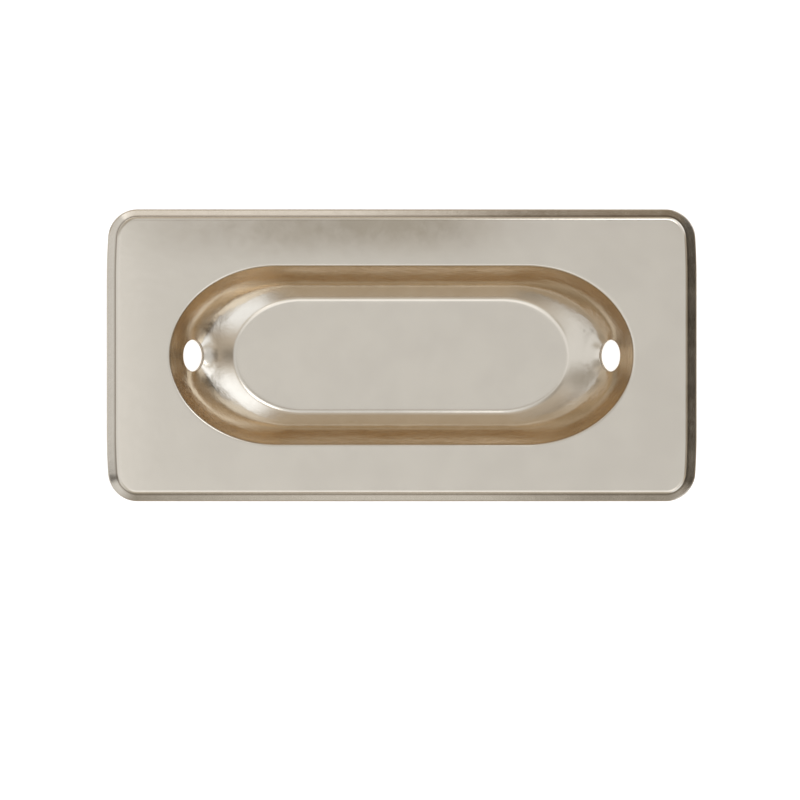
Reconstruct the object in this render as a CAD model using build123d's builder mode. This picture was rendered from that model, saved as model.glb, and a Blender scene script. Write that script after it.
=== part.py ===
from build123d import *
from math import atan, atan2, cos, degrees, radians, sin, tan
import os

# Recessed sash lift: one plate pressed from sheet metal, with a bevelled rim,
# a deep finger recess with elliptical ends and a fixing hole in each end wall.
# Millimetres. X runs along the plate, Z out of its face.
# The origin is the middle of the underside of the recess floor.

# ---------------------------------------------------------------- dimensions
sheet = 0.55            # thickness of the metal

plate_length = 88.9     # over the rim, along X
plate_width = 44.0      # over the rim, along Y
corner_radius = 4.5     # small arc of each corner
side_radius = 98.0      # shallow arc that leads each corner into the short side
side_arc = 3.6          # degrees of that shallow arc
bevel_width = 1.54      # rim bevel, seen from the front
bevel_height = 1.20     # rim bevel, seen from the side
rim_bend = 0.97         # outside radius between bevel and face

recess_depth = 11.0     # face to recess floor
floor_arc_centre = 15.05   # middle of the elliptical end of the floor outline
mouth_arc_centre = 18.70   # middle of the elliptical end of the recess mouth
crease_radius = 1.70    # inside radius round the recess floor
lip_radius = 0.33       # outside radius round the recess mouth

# Recess wall, from floor to mouth: height over the floor, half width, half length.
# The ramp leaves the floor at 35 degrees at the sides and 27 at the ends, then
# the wall steepens to about 80 degrees at the mouth.
wall = [
    (0.0, 8.62, 25.45),
    (0.6, 9.46, 26.61),
    (1.3, 10.38, 27.82),
    (2.0, 10.97, 28.90),
    (2.7, 11.31, 29.91),
    (3.5, 11.60, 30.79),
    (4.6, 11.94, 31.80),
    (5.8, 12.26, 32.75),
    (7.2, 12.61, 33.57),
    (8.8, 12.99, 34.24),
    (10.0, 13.24, 34.61),
    (11.0, 13.42, 34.87),
]
back_levels = [0.1, 0.8, 1.6, 2.4, 3.3, 4.4, 5.7, 7.1, 8.7]   # sections of its other side

hole_radius = 2.42
hole_x = 31.45          # hole centre on the front of the end wall
hole_height = 4.20      # the same point over the recess floor
hole_tilt = 45.0        # degrees between the hole's axis and the plate's normal
seat_angle = 41.0       # flank of the pressed conical seat, from the hole's axis
seat_depth = 0.25       # from the wall's front to the small end of the seat

# ------------------------------------------------------------- derived values
face_z = sheet + recess_depth
rim_z = face_z - bevel_height
bevel_slope = atan(bevel_height / bevel_width)
hollow_inset = sheet / sin(bevel_slope)
hollow_height = bevel_height - sheet
hollow_taper = degrees(atan(bevel_width / bevel_height))
seat_flare = tan(radians(seat_angle))
boss_depth = seat_depth + sheet
boss_radius = hole_radius + (sheet / sin(radians(seat_angle)) - sheet) * seat_flare


def end_centre(half_length):
    """Middle of the elliptical end of a level outline with this half length."""
    share = (half_length - wall[0][2]) / (wall[-1][2] - wall[0][2])
    return floor_arc_centre + (mouth_arc_centre - floor_arc_centre) * share


def behind(profile, distance):
    """Profile of the wall's other side: (offset, height) points moved square to it."""
    moved = []
    for i, (x, z) in enumerate(profile):
        before = (0.0, profile[0][1]) if i == 0 else profile[i - 1]
        after = (x + 10.0, z) if i == len(profile) - 1 else profile[i + 1]
        a = atan2(z - before[1], x - before[0])
        b = atan2(after[1] - z, after[0] - x)
        middle = (a + b) / 2
        reach = distance / cos((b - a) / 2)
        moved.append((x + reach * sin(middle), z - reach * cos(middle)))
    return moved


def at_height(profile, height):
    """Offset of a profile at a height."""
    for (x0, z0), (x1, z1) in zip(profile, profile[1:]):
        if z0 - 1e-9 <= height <= z1 + 1e-9:
            return x0 + (x1 - x0) * (height - z0) / (z1 - z0)
    return profile[-1][0]


def plate_outline(inset):
    """Closed outline of the plate, moved in by an amount."""
    r1, r2 = corner_radius - inset, side_radius - inset
    x, y = plate_length / 2 - inset, plate_width / 2 - inset
    step = side_radius - corner_radius
    c1y = plate_width / 2 - corner_radius
    c2y = c1y - step * sin(radians(side_arc))
    c2x = plate_length / 2 - side_radius
    c1x = c2x + step * cos(radians(side_arc))
    with BuildLine() as outline:
        Line((x, 0), (x, c2y))
        CenterArc((c2x, c2y), r2, 0, side_arc)
        CenterArc((c1x, c1y), r1, side_arc, 90 - side_arc)
        Line((c1x, y), (0, y))
        mirror(about=Plane.YZ)
        mirror(about=Plane.XZ)
    return outline.line


def level_outline(half_width, half_length):
    """Closed outline of the recess at one level: straight sides, elliptical ends."""
    c = end_centre(half_length)
    a = half_length - c
    with BuildLine() as outline:
        Line((-c, -half_width), (c, -half_width))
        EllipticalCenterArc((c, 0), a, half_width, start_angle=-90, arc_size=180)
        Line((c, half_width), (-c, half_width))
        EllipticalCenterArc((-c, 0), a, half_width, start_angle=90, arc_size=180)
    return outline.line


def hole_seat(side):
    """Plane square to a fixing hole, at the front of the end wall; side is -1 or 1."""
    lean = Vector(-side * sin(radians(hole_tilt)), 0, cos(radians(hole_tilt)))
    centre = Vector(side * hole_x, 0, sheet + hole_height)
    return Plane(origin=centre, x_dir=(0, 1, 0), z_dir=lean)


# ------------------------------------------------ the two sides of the recess
side_back = behind([(w, z) for z, w, _ in wall], sheet)
end_back = behind([(l, z) for z, _, l in wall], sheet)

# ------------------------------------------------------------------ the plate
with BuildPart() as plate:
    # bevelled rim and flat face
    with BuildSketch(Plane.XY.offset(rim_z)):
        make_face(plate_outline(0.0))
    extrude(amount=bevel_height, taper=hollow_taper)
    crease = plate.edges().group_by(Axis.Z)[-1]
    fillet(crease, radius=rim_bend)

    # hollow behind the face
    with BuildSketch(Plane.XY.offset(rim_z)):
        make_face(plate_outline(hollow_inset))
    extrude(amount=hollow_height, taper=hollow_taper, mode=Mode.SUBTRACT)

    # outside of the recess
    for level in [-sheet] + back_levels + [recess_depth - sheet]:
        with BuildSketch(Plane.XY.offset(sheet + level)):
            make_face(level_outline(at_height(side_back, level), at_height(end_back, level)))
    loft()

    # bulge of each pressed seat on the outside of the end wall
    for side in (-1, 1):
        with BuildSketch(hole_seat(side).offset(-boss_depth)):
            Circle(boss_radius)
        extrude(amount=boss_depth + 1.2, taper=-seat_angle)

    # inside of the recess
    for level, half_width, half_length in wall:
        with BuildSketch(Plane.XY.offset(sheet + level)):
            make_face(level_outline(half_width, half_length))
    loft(mode=Mode.SUBTRACT)

    # rounded mouth and floor creases
    mouth = plate.edges().filter_by_position(Axis.Z, face_z - 0.001, face_z + 0.001).filter_by(
        lambda e: e.bounding_box().size.X < 2 * 35.5 and e.bounding_box().max.Y < 14 and e.bounding_box().min.Y > -14
    )
    fillet(mouth, radius=lip_radius)
    floor_edges = plate.edges().filter_by_position(Axis.Z, sheet - 0.001, sheet + 0.001)
    fillet(floor_edges, radius=crease_radius)
    under_edges = plate.edges().filter_by_position(Axis.Z, -0.001, 0.001)
    fillet(under_edges, radius=crease_radius + sheet)

    # fixing holes, each with a conical seat pressed into the front of the wall
    for side in (-1, 1):
        with BuildSketch(hole_seat(side).offset(1.5)):
            Circle(hole_radius + (1.5 + seat_depth) * seat_flare)
        extrude(amount=-(1.5 + seat_depth), taper=seat_angle, mode=Mode.SUBTRACT)
        with BuildSketch(hole_seat(side).offset(-3.0)):
            Circle(hole_radius)
        extrude(amount=4.0, mode=Mode.SUBTRACT)

plate.part.label = "lift_plate"

os.makedirs("parts", exist_ok=True)
export_step(plate.part, "parts/lift_plate.step")

size = plate.part.bounding_box().size
print("lift_plate %.2f x %.2f x %.2f mm, volume %.1f mm3, solids %d, valid %s" % (
    size.X, size.Y, size.Z, plate.part.volume, len(plate.part.solids()), plate.part.is_valid))
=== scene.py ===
import bpy
import bmesh
import math
import numpy as np
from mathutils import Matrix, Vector


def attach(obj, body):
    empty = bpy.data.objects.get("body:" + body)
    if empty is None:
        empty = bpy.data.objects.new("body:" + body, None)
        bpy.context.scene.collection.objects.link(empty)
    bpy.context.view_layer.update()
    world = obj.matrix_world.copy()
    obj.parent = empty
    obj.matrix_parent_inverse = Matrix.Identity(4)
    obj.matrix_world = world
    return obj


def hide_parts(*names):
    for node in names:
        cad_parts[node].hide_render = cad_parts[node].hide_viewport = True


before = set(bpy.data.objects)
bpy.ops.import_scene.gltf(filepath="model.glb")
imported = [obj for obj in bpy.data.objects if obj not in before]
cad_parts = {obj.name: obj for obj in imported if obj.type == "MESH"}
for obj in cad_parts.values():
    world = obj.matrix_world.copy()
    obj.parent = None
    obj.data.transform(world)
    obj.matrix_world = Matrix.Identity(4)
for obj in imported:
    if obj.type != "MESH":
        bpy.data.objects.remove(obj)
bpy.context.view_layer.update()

# ------------------------------------------------------------------ dimensions
# Millimetres, in the plate's own frame: z = 0 is the underside of the recess floor.
SHEET = 0.55
DEPTH = 11.0
LENGTH, WIDTH = 88.9, 44.0
R1, R2, ARC2 = 4.5, 98.0, math.radians(3.6)
# rim: sloping flange, then the roll up to the face
BEVEL_W, BEVEL_A = 1.08, math.radians(38.0)
WIDER = 0.28    # the flange is this much wider along the short sides
SHOULDER_R, SHOULDER_A = 0.97, math.radians(44.0)
BEVEL_H = BEVEL_W * math.tan(BEVEL_A) + SHOULDER_R * (1 - math.cos(SHOULDER_A))
FLOOR_B, MOUTH_B = 8.62, 13.42
FLOOR_E, MOUTH_E = 25.45, 34.87
FLOOR_C, MOUTH_C = 15.05, 18.70
CREASE, LIP = 1.70, 0.33
# slope of the recess wall, in degrees, at fractions of its plan width
SIDE_SLOPES = [(0, 35), (0.2, 36.3), (0.35, 38.5), (0.46, 54), (0.56, 69), (0.7, 75), (0.85, 76.6), (0.93, 77.5), (1, 81)]
END_SLOPES = [(0, 26.0), (0.12, 27.5), (0.26, 32.0), (0.44, 33.5), (0.54, 44), (0.72, 49), (0.80, 63), (0.88, 70), (1, 75)]
HOLE_X, HOLE_R, DIMPLE_R, DIMPLE_D = 31.45, 2.42, 4.55, 0.55
TILT = math.radians(45.0)


# -------------------------------------------------------------- wall profiles
def slope_table(low, high, slopes, k):
    x = np.linspace(low, high, 6001)
    f = (x - low) / (high - low)
    a = np.interp(f, [s[0] for s in slopes], [s[1] for s in slopes])
    ker = np.hanning(2 * k + 1)
    a = np.convolve(np.pad(a, k, "edge"), ker / ker.sum(), "valid")
    t = np.tan(np.radians(a))
    z = np.r_[0, np.cumsum((t[1:] + t[:-1]) / 2 * np.diff(x))]
    print("profile depth before scaling", z[-1])
    return x, z * DEPTH / z[-1]


def rounded(x, z):
    """The same profile with its floor crease and its lip turned into arcs."""
    a0 = math.atan2(z[60] - z[0], x[60] - x[0])
    a1 = math.atan2(z[-1] - z[-61], x[-1] - x[-61])
    t0, t1 = CREASE * math.tan(a0 / 2), LIP * math.tan(a1 / 2)
    th = np.linspace(0, a0, 400)
    fx, fz = x[0] - t0 + CREASE * np.sin(th), CREASE * (1 - np.cos(th))
    th = np.linspace(a1, 0, 400)
    lx, lz = x[-1] + t1 - LIP * np.sin(th), DEPTH - LIP * (1 - np.cos(th))
    m = (z > fz[-1] + 1e-4) & (z < lz[0] - 1e-4)
    return np.r_[fx, x[m], lx], np.r_[fz, z[m], lz], a0, a1


side_x, side_z, side_a0, side_a1 = rounded(*slope_table(FLOOR_B, MOUTH_B, SIDE_SLOPES, 330))
end_x, end_z, end_a0, end_a1 = rounded(*slope_table(FLOOR_E, MOUTH_E, END_SLOPES, 300))


def level(z):
    """Half width, half length and middle of the elliptical end at heights z over the recess floor."""
    b = np.interp(z, side_z, side_x)
    e = np.interp(z, end_z, end_x)
    c = FLOOR_C + (MOUTH_C - FLOOR_C) * (e - FLOOR_E) / (MOUTH_E - FLOOR_E)
    return b, e, c


def front(th, z):
    """Point of the recess wall at ellipse angle th (right-hand end) and height z over the floor."""
    b, e, c = level(z)
    return np.stack([c + (e - c) * np.cos(th), b * np.sin(th), z + SHEET], -1)


def front_normal(th, z):
    d = 0.01
    dz = np.minimum(d, np.maximum(1e-3, np.minimum(z, DEPTH - z)))
    pt = front(th + 1e-3, z) - front(th - 1e-3, z)
    pz = front(th, z + dz) - front(th, z - dz)
    n = np.cross(pz, pt)
    return n / np.linalg.norm(n, axis=-1, keepdims=True)


def back(th, z):
    return front(th, z) - SHEET * front_normal(th, z)


# ------------------------------------------------------------- column layout
# One quadrant runs from (x_max, 0) to (0, y_max); the others mirror it.
seg_v = WIDTH / 2 - R1 - (R2 - R1) * math.sin(ARC2)
seg_2 = R2 * ARC2
seg_1 = R1 * (math.pi / 2 - ARC2)
c2 = (LENGTH / 2 - R2, seg_v)
c1 = (c2[0] + (R2 - R1) * math.cos(ARC2), WIDTH / 2 - R1)
seg_h = c1[0]
total = seg_v + seg_2 + seg_1 + seg_h
s_a, s_b, s_split = (seg_v + seg_2) / total, (seg_v + seg_2 + seg_1) / total, 0.658
cols = np.r_[
    np.linspace(0, s_a, 23)[:-1],
    np.linspace(s_a, s_b, 31)[:-1],
    np.linspace(s_b, s_split, 23)[:-1],
    np.linspace(s_split, 1, 27),
]
NQ = len(cols) - 1
n_end = int(np.argmin(abs(cols - s_split)))
theta = np.pi / 2 * cols[: n_end + 1] / s_split
straight = 1 - (cols[n_end:] - s_split) / (1 - s_split)


def all_round(q):
    """Mirrors one quadrant row (NQ + 1 points) into the full loop of 4 NQ points."""
    fx, fy, fxy = q * [-1, 1, 1], q * [1, -1, 1], q * [-1, -1, 1]
    return np.concatenate([q[:-1], fx[::-1][:-1], fxy[:-1], fy[::-1][:-1]])


def stadium(b, e, c, z):
    """Row along a level outline of the recess."""
    x = np.r_[c + (e - c) * np.cos(theta), c * straight[1:]]
    y = np.r_[b * np.sin(theta), np.full(len(straight) - 1, b)]
    return all_round(np.stack([x, y, np.full(NQ + 1, z)], 1))


def plate_row(inset, z, wide=0.0, drop=0.0):
    """Row along the plate's outline, moved in by inset; wide and drop are added along the short sides."""
    out = []
    for s in cols * total:
        w = np.clip(1 - (s - seg_v - seg_2) / seg_1, 0, 1)
        w = w * w * (3 - 2 * w)
        d = inset + wide * w
        if s <= seg_v:
            p = (LENGTH / 2 - d, s)
        elif s <= seg_v + seg_2:
            a = (s - seg_v) / seg_2 * ARC2
            p = (c2[0] + (R2 - d) * math.cos(a), c2[1] + (R2 - d) * math.sin(a))
        elif s <= seg_v + seg_2 + seg_1:
            a = ARC2 + (s - seg_v - seg_2) / seg_1 * (math.pi / 2 - ARC2)
            p = (c1[0] + (R1 - d) * math.cos(a), c1[1] + (R1 - d) * math.sin(a))
        else:
            p = (total - s, WIDTH / 2 - d)
        out.append((p[0], p[1], z - drop * w))
    return all_round(np.array(out))


def between(row_a, row_b, n):
    """n rows from row_a to row_b, the ends left out, closer together near both ends."""
    t = np.linspace(0, 1, n + 2)[1:-1]
    t = 0.6 * t + 0.4 * (0.5 - 0.5 * np.cos(np.pi * t))
    return [row_a * (1 - k) + row_b * k for k in t]


# ------------------------------------------------------------- rows, in order
face_z = SHEET + DEPTH
rows = []
b0, e0, k0 = level(np.array(0.0))
for k in np.r_[0.05, 0.2, 0.36, 0.52, 0.67, 0.8, 0.9, 0.96]:
    rows.append(stadium(b0 * k, k0 + (e0 - k0) * k, k0, SHEET))
crease_levels = CREASE * (1 - np.cos(np.linspace(0, side_a0, 9)[:-1]))
lip_levels = DEPTH - LIP * (1 - np.cos(np.linspace(side_a1, 0, 11)))
low_z, high_z = CREASE * (1 - math.cos(side_a0)), DEPTH - LIP * (1 - math.cos(side_a1))
m = (side_z > low_z) & (side_z < high_z)
arc = np.r_[0, np.cumsum(np.hypot(np.diff(side_x[m]), np.diff(side_z[m])))]
arc_end = np.interp(side_z[m], end_z, np.r_[0, np.cumsum(np.hypot(np.diff(end_x), np.diff(end_z)))])
arc_end = (arc_end - arc_end[0]) / (arc_end[-1] - arc_end[0])
both = 0.5 * arc / arc[-1] + 0.5 * arc_end
wall_levels = np.interp(np.linspace(0, 1, 60), both, side_z[m])
levels = np.r_[crease_levels, wall_levels, lip_levels]
first_wall = len(rows)
for z in levels:
    b, e, c = level(z)
    if z >= DEPTH - 1e-9:
        b, e = side_x[-1], end_x[-1]
    rows.append(stadium(b, e, c, z + SHEET))

# flat face, rounded shoulder, then the sloping flange down to the trimmed edge
shoulder_in = BEVEL_W + SHOULDER_R * math.sin(SHOULDER_A)
face_edge = plate_row(shoulder_in, face_z, WIDER)
face_first = len(rows)
rows += between(rows[-1], face_edge, 24)
dark = {}
for a in np.linspace(0, SHOULDER_A, 15):
    rows.append(plate_row(shoulder_in - SHOULDER_R * math.sin(a), face_z - SHOULDER_R * (1 - math.cos(a)), WIDER))
foot_z = face_z - SHOULDER_R * (1 - math.cos(SHOULDER_A))
edge_z = face_z - BEVEL_H
DROP = WIDER * math.tan(BEVEL_A)
# painted shade: the crease between the flange and the roll is darkened in the base colour, a dark line standing in
# for the shade there
foot = len(rows) - 1
dark.update({foot - 3: 0.12, foot - 2: 0.45, foot - 1: 0.9, foot: 1.0, foot + 1: 0.35})
for k in (0.10, 0.25, 0.5, 0.75, 0.95):
    rows.append(plate_row(BEVEL_W * (1 - k), foot_z - k * BEVEL_W * math.tan(BEVEL_A), WIDER * (1 - k), DROP * k))
rows.append(plate_row(0.02, edge_z + 0.03, 0, DROP))
rows.append(plate_row(0.03, edge_z, 0, DROP))
# trimmed edge, then the hollow behind the face
under_z = face_z - SHEET
hollow = SHEET / math.sin(BEVEL_A)
top_in = hollow + (under_z - edge_z) / math.tan(BEVEL_A)
rows.append(plate_row(hollow - 0.03, edge_z, 0, DROP))
rows.append(plate_row(hollow, edge_z + 0.03, 0, DROP))
for k in (0.4, 0.8, 0.97):
    rows.append(plate_row(hollow + (top_in - hollow) * k, edge_z + (under_z - edge_z) * k, WIDER * k, DROP * (1 - k)))
rows.append(plate_row(top_in + 0.15, under_z, WIDER))

# back of the recess: the wall moved out square to itself
back_rows = []
quad_th = np.r_[theta, np.full(len(straight) - 1, np.pi / 2)]


def back_row(z):
    """z: one height per quadrant column."""
    p = back(quad_th, z)
    b, e, c = level(z)
    p[n_end + 1:, 0] = c[n_end + 1:] * straight[1:]
    return p


top = np.full(NQ + 1, DEPTH - SHEET)
for _ in range(30):
    top += (under_z - back_row(top)[:, 2]) * 0.9
KEEP = 8.0
last_level = wall_levels[-1]
for z in levels[: len(crease_levels) + len(wall_levels)]:
    zz = np.full(NQ + 1, max(z, 1e-4))
    if z > KEEP:
        zz = KEEP + (z - KEEP) * (top - KEEP) / (last_level - KEEP)
    q = back_row(zz)
    if z < 1e-6:
        q[:, 2] = 0.0
    back_rows.append(all_round(q))
back_rows[-1][:, 2] = under_z
inner = back_rows[-1]
rows += between(rows[-1], inner * [1, 1, 0] + [0, 0, under_z], 9)
back_first = len(rows)
rows += back_rows[::-1]
last = rows[-1]
cb = float(level(np.array(0.0))[2])
for k in (0.9, 0.7, 0.45, 0.2, 0.05):
    r = last.copy()
    r[:, 1] *= k
    sx = np.sign(r[:, 0])
    over = np.maximum(abs(r[:, 0]) - cb, 0)
    r[:, 0] = sx * (np.minimum(abs(r[:, 0]), cb) + over * k)
    r[:, 2] = 0.0
    rows.append(r)

grid = np.array(rows)
NR, NC = grid.shape[:2]

# ------------------------------------------------- holes: rings round each one
patch_c = 13
front_row = lambda i: first_wall + len(crease_levels) + i
row_lo = int(np.argmin(abs(wall_levels - 1.20)))
row_hi = int(np.argmin(abs(wall_levels - 7.75)))
zc = float(np.interp(HOLE_X, end_x[400:-400], end_z[400:-400]))
centre = np.array([HOLE_X, 0, zc + SHEET])
axis = np.array([-math.sin(TILT), 0, math.cos(TILT)])
e1 = np.array([0.0, 1.0, 0.0])
e2 = np.array([math.cos(TILT), 0, math.sin(TILT)])

# boundary of the patch, as (ellipse angle, height), in order
th_c = np.r_[-theta[patch_c:0:-1], theta[: patch_c + 1]]
zz_c = wall_levels[row_lo: row_hi + 1]
loop = [(t, zz_c[0]) for t in th_c]
loop += [(th_c[-1], z) for z in zz_c[1:]]
loop += [(t, zz_c[-1]) for t in th_c[::-1][1:]]
loop += [(th_c[0], z) for z in zz_c[::-1][1:-1]]
loop = np.array(loop)


def solve(surface, q, th, z):
    """(th, z) on a surface whose shadow along the hole's axis is the point q."""
    for _ in range(25):
        p = surface(th, z) - centre
        f = np.stack([p @ e1 - q[:, 0], p @ e2 - q[:, 1]], 1)
        h = 1e-3
        pt = (surface(th + h, z) - surface(th - h, z)) / (2 * h)
        pz = (surface(th, z + h) - surface(th, z - h)) / (2 * h)
        a, b, c, d = pt @ e1, pz @ e1, pt @ e2, pz @ e2
        det = a * d - b * c
        th = th - (d * f[:, 0] - b * f[:, 1]) / det * 0.9
        z = z - (a * f[:, 1] - c * f[:, 0]) / det * 0.9
    return th, z


def rings(surface):
    edge = surface(loop[:, 0], loop[:, 1]) - centre
    qk = np.stack([edge @ e1, edge @ e2], 1)
    phi = np.arctan2(qk[:, 1], qk[:, 0])
    near = (HOLE_R + 0.05) * np.stack([np.cos(phi), np.sin(phi)], 1)
    out = []
    for w in (0.0, 0.025, 0.055, 0.09, 0.13, 0.175, 0.225, 0.28, 0.34, 0.41, 0.48, 0.55, 0.62, 0.69, 0.76, 0.83, 0.9, 0.95):
        q = near * (1 - w) + qk * w
        th, z = solve(surface, q, loop[:, 0] * (0.5 + 0.5 * w), zc + (loop[:, 1] - zc) * (0.5 + 0.5 * w))
        p = surface(th, z)
        r = np.hypot(q[:, 0], q[:, 1])
        k = np.clip((DIMPLE_R - r) / (DIMPLE_R - HOLE_R), 0, None)
        # deepest on the side towards the floor, hardly any on the mouth side
        deep = DIMPLE_D * (0.12 + 0.88 * (0.5 - 0.5 * q[:, 1] / r) ** 0.8)
        p = p - axis * (deep * k ** 2)[:, None]
        out.append(p)
    out.reverse()
    # rounded edge of the punched hole
    lip_in = out[-1] - centre
    lip_in = lip_in - np.outer(lip_in @ e1, e1) - np.outer(lip_in @ e2, e2)
    ring = centre + lip_in + HOLE_R * (np.outer(np.cos(phi), e1) + np.outer(np.sin(phi), e2))
    return out, ring


front_rings, front_in = rings(front)
print("hole front x", front_in[:, 0].min(), front_in[:, 0].max())
front_in = front_in - axis * 0.02
back_rings, back_in = rings(back)
print("hole back x", back_in[:, 0].min(), back_in[:, 0].max(), "height", zc)
back_in = back_in + axis * 0.02


# ---------------------------------------------------------- gentle unevenness
def soften(p):
    """Crown of the face towards its rim and the faint waviness of pressed sheet."""
    x, y = p[:, 0], p[:, 1]
    left = np.clip(1 - (x + LENGTH / 2 - 1.9) / 9.0, 0, 1)
    right = np.clip(1 - (LENGTH / 2 - 1.9 - x) / 4.0, 0, 1)
    top = np.clip(1 - (WIDTH / 2 - 1.9 - y) / 7.0, 0, 1)
    low = np.clip(1 - (WIDTH / 2 - 1.9 + y) / 2.2, 0, 1)
    crown = 0.150 * left ** 3 + 0.030 * right ** 2 + 0.045 * top ** 2 + 0.020 * low ** 2
    wave = (
        np.sin(x * 0.21 + 0.7) * np.sin(y * 0.33 + 1.9)
        + 0.6 * np.sin(x * 0.43 + y * 0.19 + 2.2)
        + 0.4 * np.sin(y * 0.61 - x * 0.27 + 0.4)
    )
    k = np.clip((p[:, 2] - 8.0) / 3.0, 0, 1)
    z = p[:, 2] - k * (crown + 0.006 * wave) - (1 - k) * 0.004 * wave * (p[:, 2] > 0.3)
    return np.stack([x, y, np.maximum(z, 0)], 1)


# ------------------------------------------------------------------ the mesh
verts = [soften(grid.reshape(-1, 3))]
n_crease, n_wall = len(crease_levels), len(wall_levels)
# painted shade: the rows round the lip of the recess are darkened in the base colour as well
dark.update({first_wall + n_crease + n_wall - 2: 0.20, first_wall + n_crease + n_wall - 1: 0.55,
             first_wall + n_crease + n_wall: 0.80, first_wall + n_crease + n_wall + 1: 0.80,
             first_wall + n_crease + n_wall + 2: 0.55, first_wall + n_crease + n_wall + 3: 0.20})
painted_shade = [np.repeat([dark.get(i, 0.0) for i in range(NR)], NC)]
count = NR * NC
faces = []
cut = set()
back_wall = back_first + (len(levels[: len(crease_levels) + len(wall_levels)]) - 1) - len(crease_levels)


def back_index(i):
    """Grid row of the back surface for wall level i."""
    return back_wall - i


hole_faces = []
for middle in (0, 2 * NQ):
    for rows_of in (front_row, back_index):
        lo, hi = sorted((rows_of(row_lo), rows_of(row_hi)))
        for r in range(lo, hi):
            for c in range(-patch_c, patch_c):
                cut.add((r, (middle + c) % NC))
for r in range(NR - 1):
    for c in range(NC):
        if (r, c) in cut:
            continue
        d = (c + 1) % NC
        faces.append((r * NC + c, r * NC + d, (r + 1) * NC + d, (r + 1) * NC + c))
faces.append(tuple(range(NC)))
faces.append(tuple((NR - 1) * NC + c for c in range(NC)))

for side in (1, -1):
    middle = 0 if side == 1 else 2 * NQ
    inner_rings = []
    for rows_of, ring_list, ring_in in ((front_row, front_rings, front_in), (back_index, back_rings, back_in)):
        # grid vertices round the patch, in the order of loop
        def at(i, k):
            col = (middle + k * side) % NC
            return rows_of(i) * NC + col
        edge = [at(row_lo, k) for k in range(-patch_c, patch_c + 1)]
        edge += [at(i, patch_c) for i in range(row_lo + 1, row_hi + 1)]
        edge += [at(row_hi, k) for k in range(patch_c - 1, -patch_c - 1, -1)]
        edge += [at(i, -patch_c) for i in range(row_hi - 1, row_lo, -1)]
        prev = edge
        n = len(edge)
        for p in ring_list + [ring_in]:
            q = p * [side, 1, 1]
            verts.append(soften(q))
            # painted shade: the edge ring of each hole is darkened in the base colour
            painted_shade.append(np.full(len(q), 0.35 if p is ring_in else 0.0))
            ids = list(range(count, count + n))
            count += n
            for k in range(n):
                j = (k + 1) % n
                faces.append((prev[k], prev[j], ids[j], ids[k]))
            prev = ids
        inner_rings.append(prev)
    a, b = inner_rings
    for k in range(len(a)):
        j = (k + 1) % len(a)
        hole_faces.append(len(faces))
        faces.append((a[k], a[j], b[j], b[k]))

points = np.concatenate(verts) * 0.001
mesh = bpy.data.meshes.new("lift_plate_skin")
mesh.from_pydata(points.tolist(), [], faces)
# per-vertex painted shade, read by the material to darken the base colour
attr = mesh.attributes.new("painted_shade", "FLOAT", "POINT")
attr.data.foreach_set("value", np.concatenate(painted_shade).astype(np.float32))
for i in hole_faces:
    mesh.polygons[i].material_index = 1
bm = bmesh.new()
bm.from_mesh(mesh)
loose = [v for v in bm.verts if not v.link_faces]
bmesh.ops.delete(bm, geom=loose, context="VERTS")
bmesh.ops.recalc_face_normals(bm, faces=bm.faces)
for f in bm.faces:
    f.smooth = True
print("open edges", sum(1 for e in bm.edges if len(e.link_faces) != 2), "faces", len(bm.faces))
bm.to_mesh(mesh)
bm.free()
mesh.update()
plate = bpy.data.objects.new("lift_plate_skin", mesh)
bpy.context.scene.collection.objects.link(plate)


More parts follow.
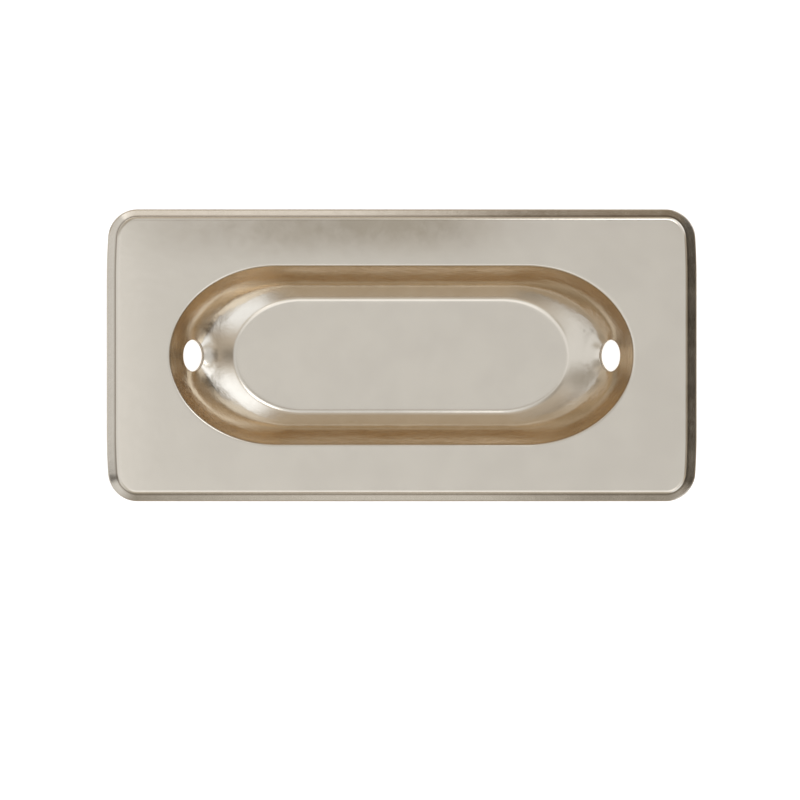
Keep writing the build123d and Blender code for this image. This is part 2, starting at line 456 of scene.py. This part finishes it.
# --------------------------------------------------------------- satin nickel
def satin_nickel():
    m = bpy.data.materials.new("satin_nickel")
    m.use_nodes = True
    nt = m.node_tree
    link = nt.links.new
    bsdf = nt.nodes["Principled BSDF"]
    bsdf.inputs["Metallic"].default_value = 1.0
    bsdf.inputs["Specular Tint"].default_value = (0.84, 0.75, 0.63, 1)
    tc = nt.nodes.new("ShaderNodeTexCoord")

    def noise(scale, detail, rough, stretch=None):
        n = nt.nodes.new("ShaderNodeTexNoise")
        n.inputs["Scale"].default_value = scale
        n.inputs["Detail"].default_value = detail
        n.inputs["Roughness"].default_value = rough
        if stretch:
            mp = nt.nodes.new("ShaderNodeMapping")
            mp.inputs["Scale"].default_value = stretch
            link(tc.outputs["Object"], mp.inputs["Vector"])
            link(mp.outputs["Vector"], n.inputs["Vector"])
        else:
            link(tc.outputs["Object"], n.inputs["Vector"])
        return n

    def ramp(src, lo, hi, a, b):
        mr = nt.nodes.new("ShaderNodeMapRange")
        mr.interpolation_type = "SMOOTHSTEP"
        mr.inputs["From Min"].default_value = lo
        mr.inputs["From Max"].default_value = hi
        mr.inputs["To Min"].default_value = a
        mr.inputs["To Max"].default_value = b
        link(src, mr.inputs["Value"])
        return mr.outputs["Result"]

    cloud = noise(140.0, 4.0, 0.55)
    fine = noise(900.0, 3.0, 0.5)
    # colour: warm grey with faint clouds in the plating
    mix = nt.nodes.new("ShaderNodeMix")
    mix.name = "plating"
    mix.data_type = "RGBA"
    mix.inputs["A"].default_value = (0.764, 0.675, 0.554, 1)
    mix.inputs["B"].default_value = (0.787, 0.697, 0.573, 1)
    link(ramp(cloud.outputs["Fac"], 0.35, 0.65, 0.0, 1.0), mix.inputs["Factor"])
    # darker, mottled patch on the face along its rear edge
    sep = nt.nodes.new("ShaderNodeSeparateXYZ")
    link(tc.outputs["Object"], sep.inputs["Vector"])
    patch = noise(75.0, 5.0, 0.6)
    grain = noise(420.0, 4.0, 0.65, (1.0, 0.8, 1.0))

    def math_node(op, a, b):
        n = nt.nodes.new("ShaderNodeMath")
        n.operation = op
        for i, v in enumerate((a, b)):
            if isinstance(v, (int, float)):
                n.inputs[i].default_value = v
            else:
                link(v, n.inputs[i])
        return n.outputs[0]

    along = math_node("MULTIPLY", ramp(sep.outputs["X"], -0.046, -0.018, 0.0, 1.0), ramp(sep.outputs["X"], 0.001, 0.023, 1.0, 0.0))
    across = math_node("MULTIPLY", ramp(sep.outputs["Y"], 0.0128, 0.0196, 0.0, 1.0), ramp(sep.outputs["Y"], 0.0203, 0.0207, 1.0, 0.0))
    high = ramp(sep.outputs["Z"], 0.0109, 0.0113, 0.0, 1.0)
    rear_patch = math_node("MULTIPLY", math_node("MULTIPLY", along, across), high)
    mottle = math_node("ADD", ramp(patch.outputs["Fac"], 0.30, 0.62, 0.55, 1.0), ramp(grain.outputs["Fac"], 0.35, 0.7, -0.10, 0.10))
    rear_patch = math_node("MULTIPLY", rear_patch, mottle)
    darker = nt.nodes.new("ShaderNodeMix")
    darker.data_type = "RGBA"
    darker.blend_type = "MULTIPLY"
    darker.inputs["B"].default_value = (0.665, 0.635, 0.58, 1)
    link(rear_patch, darker.inputs["Factor"])
    link(mix.outputs["Result"], darker.inputs["A"])
    # painted shade: darkens the base colour along the creases, round the lip of the recess and at the hole edges
    at = nt.nodes.new("ShaderNodeAttribute")
    at.attribute_type = "GEOMETRY"
    at.attribute_name = "painted_shade"
    line = nt.nodes.new("ShaderNodeMix")
    line.data_type = "RGBA"
    line.blend_type = "MULTIPLY"
    line.inputs["B"].default_value = (0.40, 0.37, 0.33, 1)
    link(at.outputs["Fac"], line.inputs["Factor"])
    link(darker.outputs["Result"], line.inputs["A"])
    link(line.outputs["Result"], bsdf.inputs["Base Color"])
    # roughness: satin, a little uneven
    add = nt.nodes.new("ShaderNodeMath")
    add.name = "rough"
    add.operation = "ADD"
    link(ramp(cloud.outputs["Fac"], 0.3, 0.7, 0.17, 0.22), add.inputs[0])
    link(ramp(fine.outputs["Fac"], 0.3, 0.7, -0.015, 0.015), add.inputs[1])
    link(add.outputs["Value"], bsdf.inputs["Roughness"])
    # fine grain under the plating
    bump = nt.nodes.new("ShaderNodeBump")
    bump.inputs["Strength"].default_value = 0.05
    bump.inputs["Distance"].default_value = 0.00002
    link(fine.outputs["Fac"], bump.inputs["Height"])
    # slight orange peel where the metal has been stretched
    peel = noise(460.0, 3.0, 0.55)
    swell = nt.nodes.new("ShaderNodeBump")
    swell.inputs["Distance"].default_value = 0.00006
    stretched = math_node("MULTIPLY", ramp(sep.outputs["Z"], 0.0006, 0.0022, 0.10, 1.0), ramp(sep.outputs["Z"], 0.0095, 0.0112, 1.0, 0.15))
    link(stretched, swell.inputs["Strength"])
    link(peel.outputs["Fac"], swell.inputs["Height"])
    link(bump.outputs["Normal"], swell.inputs["Normal"])
    link(swell.outputs["Normal"], bsdf.inputs["Normal"])
    return m


def cut_edge(base):
    """The punched edge of the holes: same metal, torn and much rougher."""
    m = base.copy()
    m.name = "satin_nickel_cut_edge"
    nt = m.node_tree
    nt.nodes["plating"].inputs["A"].default_value = (0.56, 0.49, 0.40, 1)
    nt.nodes["plating"].inputs["B"].default_value = (0.66, 0.58, 0.48, 1)
    rough = nt.nodes["rough"].inputs[1]
    for l in list(rough.links):
        nt.links.remove(l)
    rough.default_value = 0.25
    return m


nickel = satin_nickel()
mesh.materials.append(nickel)
mesh.materials.append(cut_edge(nickel))
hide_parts("lift_plate")
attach(plate, "root")

# ---------------------------------------------------------------- pale floor
floor_mesh = bpy.data.meshes.new("floor")
s, zf = 1.5, -0.00005
floor_mesh.from_pydata([(-s, -s, zf), (s, -s, zf), (s, s, zf), (-s, s, zf)], [], [(0, 1, 2, 3)])
floor = bpy.data.objects.new("floor", floor_mesh)
bpy.context.scene.collection.objects.link(floor)
fm = bpy.data.materials.new("pale_floor")
fm.use_nodes = True
nt = fm.node_tree
pb = nt.nodes["Principled BSDF"]
pb.inputs["Base Color"].default_value = (0.82, 0.82, 0.82, 1)
pb.inputs["Roughness"].default_value = 0.9
pb.inputs["Specular IOR Level"].default_value = 0.1
pb.inputs["Emission Color"].default_value = (1, 1, 1, 1)
pb.inputs["Emission Strength"].default_value = 0.62
geo = nt.nodes.new("ShaderNodeNewGeometry")
clear = nt.nodes.new("ShaderNodeBsdfTransparent")
mixs = nt.nodes.new("ShaderNodeMixShader")
out = nt.nodes["Material Output"]
nt.links.new(geo.outputs["Backfacing"], mixs.inputs["Fac"])
nt.links.new(pb.outputs["BSDF"], mixs.inputs[1])
nt.links.new(clear.outputs["BSDF"], mixs.inputs[2])
nt.links.new(mixs.outputs["Shader"], out.inputs["Surface"])
floor_mesh.materials.append(fm)

# --------------------------------------------------------------------- light
scene = bpy.context.scene
world = bpy.data.worlds.new("studio")
scene.world = world
world.use_nodes = True
nt = world.node_tree
bg = nt.nodes["Background"]
tc = nt.nodes.new("ShaderNodeTexCoord")
sep = nt.nodes.new("ShaderNodeSeparateXYZ")
nt.links.new(tc.outputs["Generated"], sep.inputs[0])


def calc(op, a, b=None):
    n = nt.nodes.new("ShaderNodeMath")
    n.operation = op
    for i, v in enumerate((a, b)):
        if v is None:
            continue
        if isinstance(v, (int, float)):
            n.inputs[i].default_value = v
        else:
            nt.links.new(v, n.inputs[i])
    return n.outputs[0]


def step(v, lo, hi):
    """Smooth step from 0 at lo to 1 at hi."""
    n = nt.nodes.new("ShaderNodeMapRange")
    n.interpolation_type = "SMOOTHSTEP"
    n.inputs["From Min"].default_value = lo
    n.inputs["From Max"].default_value = hi
    nt.links.new(v, n.inputs["Value"])
    return n.outputs["Result"]


def paint(under, mask, colour):
    n = nt.nodes.new("ShaderNodeMix")
    n.data_type = "RGBA"
    nt.links.new(mask, n.inputs["Factor"])
    if isinstance(under, tuple):
        n.inputs["A"].default_value = under + (1,)
    else:
        nt.links.new(under, n.inputs["A"])
    n.inputs["B"].default_value = colour + (1,)
    return n.outputs["Result"]


def bright(v):
    return (0.975 * v, 1.03 * v, 1.115 * v)


def box(v):
    return (0.93 * v, 1.02 * v, 1.16 * v)


def grey(v):
    return (1.02 * v, 1.0 * v, 0.95 * v)


def dim(v):
    return (1.06 * v, 0.95 * v, 0.80 * v)


RAD = math.pi / 180
tilt = calc("ARCCOSINE", sep.outputs["Z"])          # 0 overhead, 90 degrees at the horizon
az = calc("ARCTAN2", sep.outputs["Y"], sep.outputs["X"])


def sector(middle, half, soft):
    """1 inside an azimuth sector, fading over soft degrees at each side."""
    d = calc("SUBTRACT", az, middle * RAD)
    d = calc("ARCCOSINE", calc("COSINE", d))
    return step(d, (half + soft / 2) * RAD, (half - soft / 2) * RAD)


def ring(t0, t1, soft0, soft1):
    """1 between two tilts from overhead."""
    up = step(tilt, (t0 - soft0 / 2) * RAD, (t0 + soft0 / 2) * RAD)
    return calc("MULTIPLY", up, step(tilt, (t1 + soft1 / 2) * RAD, (t1 - soft1 / 2) * RAD))


# overhead diffuser, fading to a dim warm room near the horizon
sky = paint(bright(0.72), step(tilt, 34 * RAD, 48 * RAD), (0.571, 0.532, 0.476))
sky = paint(sky, step(tilt, 52 * RAD, 82 * RAD), (0.205, 0.172, 0.135))
sky = paint(sky, calc("MULTIPLY", sector(-90, 45, 50), step(tilt, 54 * RAD, 72 * RAD)), grey(0.30))
sky = paint(sky, calc("MULTIPLY", sector(-90, 50, 50), step(tilt, 79 * RAD, 84 * RAD)), grey(0.50))
# brighter overhead edges, front and back, the rear one beyond a dark gap
sky = paint(sky, calc("MULTIPLY", sector(-90, 50, 50), ring(16, 33, 10, 8)), bright(1.26))
sky = paint(sky, calc("MULTIPLY", sector(90, 60, 50), ring(19, 33, 6, 10)), bright(0.78))
sky = paint(sky, calc("MULTIPLY", sector(90, 60, 50), ring(7, 14, 4, 6)), grey(0.40))
# large reflector on the left, its rear corner turned away
sky = paint(sky, calc("MULTIPLY", sector(-170, 42, 50), ring(3.5, 30, 5, 20)), bright(0.94))
sky = paint(sky, calc("MULTIPLY", sector(-172, 42, 40), ring(30, 70, 20, 14)), bright(0.86))
sky = paint(sky, calc("MULTIPLY", sector(158, 10, 14), ring(50, 70, 12, 10)), grey(0.40))
sky = paint(sky, calc("MULTIPLY", sector(137, 20, 24), ring(24, 50, 12, 12)), grey(0.42))
sky = paint(sky, calc("MULTIPLY", sector(-135, 16, 24), ring(34, 50, 12, 10)), grey(0.50))
sky = paint(sky, calc("MULTIPLY", sector(180, 60, 50), ring(72, 93, 10, 8)), bright(0.80))
sky = paint(sky, calc("MULTIPLY", sector(-167, 7, 11), ring(68, 84, 8, 8)), dim(0.05))
# two small lamps in front, seen in the upper ends of the recess
sky = paint(sky, calc("MULTIPLY", sector(-64, 12, 16), ring(32, 44, 8, 8)), bright(1.45))
sky = paint(sky, calc("MULTIPLY", sector(-116, 14, 16), ring(32, 44, 8, 8)), bright(1.05))
# soft boxes behind and in front, to the right
sky = paint(sky, calc("MULTIPLY", sector(42, 24, 24), ring(49, 68, 12, 10)), box(1.52))
sky = paint(sky, calc("MULTIPLY", sector(-48, 20, 22), ring(49, 70, 12, 10)), box(1.22))
# dark side of the studio on the right
sky = paint(sky, calc("MULTIPLY", sector(0, 8, 14), ring(36, 56, 20, 8)), dim(0.18))
sky = paint(sky, calc("MULTIPLY", sector(6, 38, 32), ring(71, 84, 6, 8)), dim(0.03))
nt.links.new(sky, bg.inputs["Color"])


def panel(name, where, size, radiance, aim=(0, 0, 0.01)):
    """Soft light panel facing the plate; radiance is how bright its face looks."""
    d = bpy.data.lights.new(name, "AREA")
    d.shape = "RECTANGLE"
    d.size, d.size_y = size
    d.energy = radiance * math.pi * size[0] * size[1]
    d.color = (0.94, 1.0, 1.09)
    o = bpy.data.objects.new(name, d)
    bpy.context.scene.collection.objects.link(o)
    o.location = where
    o.rotation_mode = "QUATERNION"
    o.rotation_quaternion = (Vector(where) - Vector(aim)).to_track_quat("Z", "Y")
    o.visible_camera = False
    return o


# low strips close to the long edges, which the sloping flange mirrors
panel("rear_strip", (-0.118, 0.30, 0.085), (0.28, 0.07), 0.79)
panel("front_strip", (-0.005, -0.30, 0.085), (0.06, 0.07), 0.46)
# a nearer one that only the right-hand part of the rear roll mirrors
panel("rear_key", (0.095, 0.16, 0.30), (0.130, 0.09), 2.0, (0.095, 0, 0.01))

# -------------------------------------------------------------------- camera
cam_data = bpy.data.cameras.new("camera")
cam = bpy.data.objects.new("camera", cam_data)
scene.collection.objects.link(cam)
scene.camera = cam
DIST = 0.90
MM_PX = 88.9 / 590.5
cam_data.sensor_width = 36.0
cam_data.lens = 36.0 * DIST / (800 * MM_PX * 0.001)
cam_data.clip_start, cam_data.clip_end = 0.01, 20.0
cam.location = (-(401.69 - 400) * MM_PX * 0.001, -(400 - 355.30) * MM_PX * 0.001, DIST + (face_z - BEVEL_H) * 0.001)
cam.rotation_euler = (0, 0, 0)

scene.view_settings.view_transform = "Standard"
scene.cycles.max_bounces = 16
scene.cycles.glossy_bounces = 16
